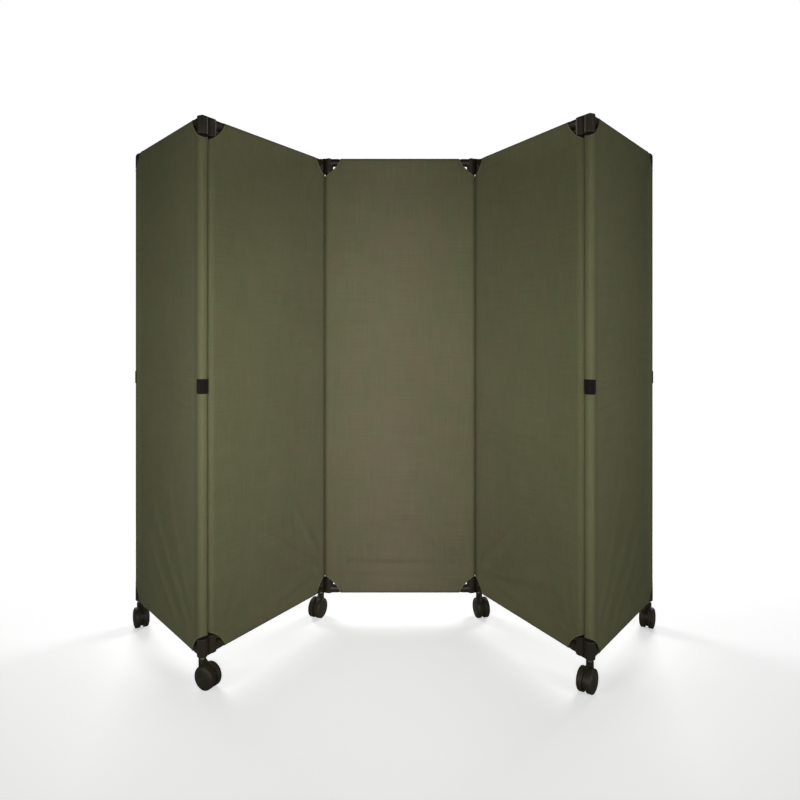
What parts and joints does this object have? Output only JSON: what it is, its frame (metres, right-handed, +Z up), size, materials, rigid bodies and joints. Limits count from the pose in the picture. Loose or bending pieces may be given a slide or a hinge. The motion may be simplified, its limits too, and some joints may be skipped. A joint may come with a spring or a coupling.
{
  "type": "folding ward privacy screen",
  "caption": "Folding privacy screen on casters: cloth-covered tube frames linked by two-pin hinge plates, so that each fold swings freely and the whole screen folds flat.",
  "frame": {"origin": "centre of the footprint's bounding box, on the floor", "axes": "+Z up; +X along the unfolded screen, to the right as seen in the picture; -Y towards the viewer"},
  "size_m": [1.968, 0.5976, 1.7794],
  "materials": {
    "cloth": "woven olive-drab cloth, matt",
    "moulding": "black moulded elbows on a black rail",
    "tube": "black powder coat",
    "webbing": "black woven webbing",
    "steel": "bright zinc plate",
    "plate": "black painted steel plate",
    "fork": "black moulded nylon",
    "wheel": "black moulded nylon, slightly glossy"
  },
  "bodies": {
    "centre": {"centre_top_rail": "moulding", "centre_bottom_rail": "moulding", "centre_post_a": "tube", "centre_post_b": "tube", "centre_cloth": "cloth"},
    "hinge_left": {"hinge_left_top": "plate", "hinge_left_bottom": "plate"},
    "inner_left": {"inner_left_top_rail": "moulding", "inner_left_bottom_rail": "moulding", "inner_left_post_a": "tube", "inner_left_post_b": "tube", "inner_left_cloth": "cloth", "caster_inner_left_stem": "steel"},
    "fork_inner_left": {"caster_inner_left_fork": "fork"},
    "wheels_inner_left": {"caster_inner_left_wheels": "wheel"},
    "front_hinge_left": {"front_hinge_left_top": "plate", "front_hinge_left_bottom": "plate"},
    "end_left": {"end_left_top_rail": "moulding", "end_left_bottom_rail": "moulding", "end_left_post_a": "tube", "end_left_post_b": "tube", "end_left_cloth": "cloth", "caster_front_left_stem": "steel", "caster_end_left_stem": "steel", "front_band_left": "webbing", "end_band_left": "webbing"},
    "fork_front_left": {"caster_front_left_fork": "fork"},
    "wheels_front_left": {"caster_front_left_wheels": "wheel"},
    "fork_end_left": {"caster_end_left_fork": "fork"},
    "wheels_end_left": {"caster_end_left_wheels": "wheel"},
    "hinge_right": {"hinge_right_top": "plate", "hinge_right_bottom": "plate"},
    "inner_right": {"inner_right_top_rail": "moulding", "inner_right_bottom_rail": "moulding", "inner_right_post_a": "tube", "inner_right_post_b": "tube", "inner_right_cloth": "cloth", "caster_inner_right_stem": "steel"},
    "fork_inner_right": {"caster_inner_right_fork": "fork"},
    "wheels_inner_right": {"caster_inner_right_wheels": "wheel"},
    "front_hinge_right": {"front_hinge_right_top": "plate", "front_hinge_right_bottom": "plate"},
    "end_right": {"end_right_top_rail": "moulding", "end_right_bottom_rail": "moulding", "end_right_post_a": "tube", "end_right_post_b": "tube", "end_right_cloth": "cloth", "caster_front_right_stem": "steel", "caster_end_right_stem": "steel", "front_band_right": "webbing", "end_band_right": "webbing"},
    "fork_front_right": {"caster_front_right_fork": "fork"},
    "wheels_front_right": {"caster_front_right_wheels": "wheel"},
    "fork_end_right": {"caster_end_right_fork": "fork"},
    "wheels_end_right": {"caster_end_right_wheels": "wheel"}
  },
  "joints": [
    {"name": "hinge_left_centre_pin", "type": "hinge", "parent": "centre", "child": "hinge_left", "pos_m": [-0.25461, 0.26889, 1.764], "axis": [0, 0, 1], "range_deg": [-66, 102]},
    {"name": "hinge_left_inner_pin", "type": "hinge", "parent": "hinge_left", "child": "inner_left", "pos_m": [-0.28695, 0.2794, 1.764], "axis": [0, 0, 1], "range_deg": [-160.5, 7.5]},
    {"name": "front_hinge_left_inner_pin", "type": "hinge", "parent": "inner_left", "child": "front_hinge_left", "pos_m": [-0.57641, -0.19297, 1.764], "axis": [0, 0, -1], "range_deg": [-84, 59]},
    {"name": "front_hinge_left_end_pin", "type": "hinge", "parent": "front_hinge_left", "child": "end_left", "pos_m": [-0.59418, -0.22196, 1.764], "axis": [0, 0, -1], "range_deg": [-191.3, 1.7]},
    {"name": "swivel_inner_left", "type": "hinge", "parent": "inner_left", "child": "fork_inner_left", "pos_m": [-0.28695, 0.2794, 0.084], "axis": [0, 0, 1], "continuous": true},
    {"name": "roll_inner_left", "type": "hinge", "parent": "fork_inner_left", "child": "wheels_inner_left", "pos_m": [-0.29633, 0.2573, 0.03704], "axis": [0.9205, -0.3907, 0], "continuous": true},
    {"name": "swivel_front_left", "type": "hinge", "parent": "end_left", "child": "fork_front_left", "pos_m": [-0.59418, -0.22196, 0.084], "axis": [0, 0, 1], "continuous": true},
    {"name": "roll_front_left", "type": "hinge", "parent": "fork_front_left", "child": "wheels_front_left", "pos_m": [-0.57319, -0.23359, 0.03704], "axis": [0.4848, 0.8746, 0], "continuous": true},
    {"name": "swivel_end_left", "type": "hinge", "parent": "end_left", "child": "fork_end_left", "pos_m": [-0.95909, 0.19488, 0.084], "axis": [0, 0, 1], "continuous": true},
    {"name": "roll_end_left", "type": "hinge", "parent": "fork_end_left", "child": "wheels_end_left", "pos_m": [-0.94709, 0.1741, 0.03704], "axis": [0.866, 0.5, 0], "continuous": true},
    {"name": "hinge_right_centre_pin", "type": "hinge", "parent": "centre", "child": "hinge_right", "pos_m": [0.29939, 0.26889, 1.764], "axis": [0, 0, 1], "range_deg": [-102, 66]},
    {"name": "hinge_right_inner_pin", "type": "hinge", "parent": "hinge_right", "child": "inner_right", "pos_m": [0.33172, 0.2794, 1.764], "axis": [0, 0, 1], "range_deg": [-4, 164]},
    {"name": "front_hinge_right_inner_pin", "type": "hinge", "parent": "inner_right", "child": "front_hinge_right", "pos_m": [0.59181, -0.20976, 1.764], "axis": [0, 0, -1], "range_deg": [-54, 89]},
    {"name": "front_hinge_right_end_pin", "type": "hinge", "parent": "front_hinge_right", "child": "end_right", "pos_m": [0.61033, -0.23827, 1.764], "axis": [0, 0, -1], "range_deg": [-1, 192]},
    {"name": "swivel_inner_right", "type": "hinge", "parent": "inner_right", "child": "fork_inner_right", "pos_m": [0.33172, 0.2794, 0.084], "axis": [0, 0, 1], "continuous": true},
    {"name": "roll_inner_right", "type": "hinge", "parent": "fork_inner_right", "child": "wheels_inner_right", "pos_m": [0.33712, 0.25601, 0.03704], "axis": [0.9744, 0.225, 0], "continuous": true},
    {"name": "swivel_front_right", "type": "hinge", "parent": "end_right", "child": "fork_front_right", "pos_m": [0.61033, -0.23827, 0.084], "axis": [0, 0, 1], "continuous": true},
    {"name": "roll_front_right", "type": "hinge", "parent": "fork_front_right", "child": "wheels_front_right", "pos_m": [0.59622, -0.25769, 0.03704], "axis": [0.809, -0.5878, 0], "continuous": true},
    {"name": "swivel_end_right", "type": "hinge", "parent": "end_right", "child": "fork_end_right", "pos_m": [0.95897, 0.19227, 0.084], "axis": [0, 0, 1], "continuous": true},
    {"name": "roll_end_right", "type": "hinge", "parent": "fork_end_right", "child": "wheels_end_right", "pos_m": [0.94771, 0.17108, 0.03704], "axis": [0.8829, -0.4695, 0], "continuous": true}
  ]
}
